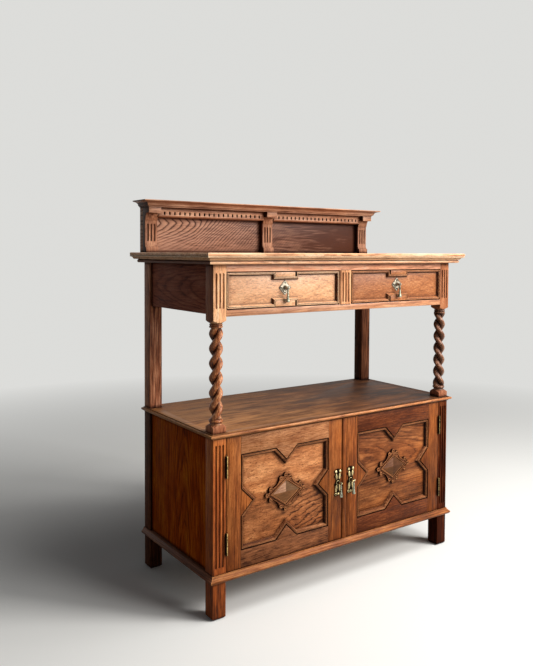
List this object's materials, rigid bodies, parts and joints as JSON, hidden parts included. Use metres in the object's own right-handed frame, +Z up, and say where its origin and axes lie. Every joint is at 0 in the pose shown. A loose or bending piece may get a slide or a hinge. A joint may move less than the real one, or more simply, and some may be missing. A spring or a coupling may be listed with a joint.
{
  "type": "sideboard",
  "caption": "Oak sideboard: cupboard with star-moulded doors, open serving bay on twisted columns, fluted drawer case and low dentilled gallery.",
  "frame": {"origin": "on the floor, below the middle of the sideboard's overall box", "axes": "+Z up, +Y towards the back, the doors and drawers face -Y, +X to the right"},
  "size_m": [1.082, 0.528, 1.25],
  "materials": {
    "polished_oak": "stained and waxed oak, reddish brown, open grain",
    "dark_oak": "darker stained oak on the sides, posts and back, satin",
    "inner_oak": "unpolished oak inside the cupboard and drawers",
    "aged_brass": "aged brass with dark recesses"
  },
  "bodies": {
    "carcass": {"front_left_leg": "polished_oak", "front_right_leg": "polished_oak", "rear_left_leg": "dark_oak", "rear_right_leg": "dark_oak", "bottom_rails": "polished_oak", "bottom_board": "inner_oak", "base_moulding": "polished_oak", "lower_side_panels": "dark_oak", "cabinet_back": "dark_oak", "serving_board": "polished_oak", "inner_shelf": "inner_oak", "shelf_bearers": "inner_oak", "door_stop": "inner_oak", "door_catches": "aged_brass", "hinge_frame_leaves": "aged_brass", "left_column": "polished_oak", "right_column": "polished_oak", "rear_left_post": "dark_oak", "rear_right_post": "dark_oak", "upper_side_panels": "dark_oak", "drawer_case_back": "dark_oak", "drawer_top_rail": "polished_oak", "drawer_bottom_rail": "polished_oak", "centre_muntin": "polished_oak", "drawer_runners": "inner_oak", "top_bed_moulding": "polished_oak", "top_board": "polished_oak", "gallery_back": "polished_oak", "gallery_pilasters": "polished_oak", "gallery_frieze": "polished_oak", "gallery_cornice": "polished_oak"},
    "left_drawer": {"left_drawer_front": "polished_oak", "left_drawer_moulding": "polished_oak", "left_drawer_box": "inner_oak", "left_drawer_bottom": "inner_oak", "left_drawer_plate": "aged_brass"},
    "left_drawer_drop": {"left_drawer_drop": "aged_brass"},
    "right_drawer": {"right_drawer_front": "polished_oak", "right_drawer_moulding": "polished_oak", "right_drawer_box": "inner_oak", "right_drawer_bottom": "inner_oak", "right_drawer_plate": "aged_brass"},
    "right_drawer_drop": {"right_drawer_drop": "aged_brass"},
    "left_door": {"left_door_stiles": "polished_oak", "left_door_rails": "polished_oak", "left_door_panel": "polished_oak", "left_door_moulding": "polished_oak", "left_door_boss": "polished_oak", "left_door_hinge_leaves": "aged_brass", "left_door_plate": "aged_brass"},
    "left_door_drop": {"left_door_drop": "aged_brass"},
    "right_door": {"right_door_stiles": "polished_oak", "right_door_rails": "polished_oak", "right_door_panel": "polished_oak", "right_door_moulding": "polished_oak", "right_door_boss": "polished_oak", "right_door_hinge_leaves": "aged_brass", "right_door_plate": "aged_brass", "right_door_bead": "polished_oak"},
    "right_door_drop": {"right_door_drop": "aged_brass"}
  },
  "joints": [
    {"name": "left_drawer_slide", "type": "slide", "parent": "carcass", "child": "left_drawer", "axis": [0, -1, 0], "range_m": [0, 0.3]},
    {"name": "left_drawer_pull", "type": "hinge", "parent": "left_drawer", "child": "left_drawer_drop", "pos_m": [-0.2405, -0.232, 0.9685], "axis": [-1, 0, 0], "range_deg": [0, 80]},
    {"name": "right_drawer_slide", "type": "slide", "parent": "carcass", "child": "right_drawer", "axis": [0, -1, 0], "range_m": [0, 0.3]},
    {"name": "right_drawer_pull", "type": "hinge", "parent": "right_drawer", "child": "right_drawer_drop", "pos_m": [0.2405, -0.232, 0.9685], "axis": [-1, 0, 0], "range_deg": [0, 80]},
    {"name": "left_door_hinge", "type": "hinge", "parent": "carcass", "child": "left_door", "pos_m": [-0.45525, -0.2267, 0.3345], "axis": [0, 0, -1], "range_deg": [0, 165]},
    {"name": "left_door_pull", "type": "hinge", "parent": "left_door", "child": "left_door_drop", "pos_m": [-0.02675, -0.24, 0.32475], "axis": [-1, 0, 0], "range_deg": [0, 80]},
    {"name": "right_door_hinge", "type": "hinge", "parent": "carcass", "child": "right_door", "pos_m": [0.45525, -0.2267, 0.3345], "axis": [0, 0, 1], "range_deg": [0, 165]},
    {"name": "right_door_pull", "type": "hinge", "parent": "right_door", "child": "right_door_drop", "pos_m": [0.02875, -0.24, 0.32475], "axis": [-1, 0, 0], "range_deg": [0, 80]}
  ]
}
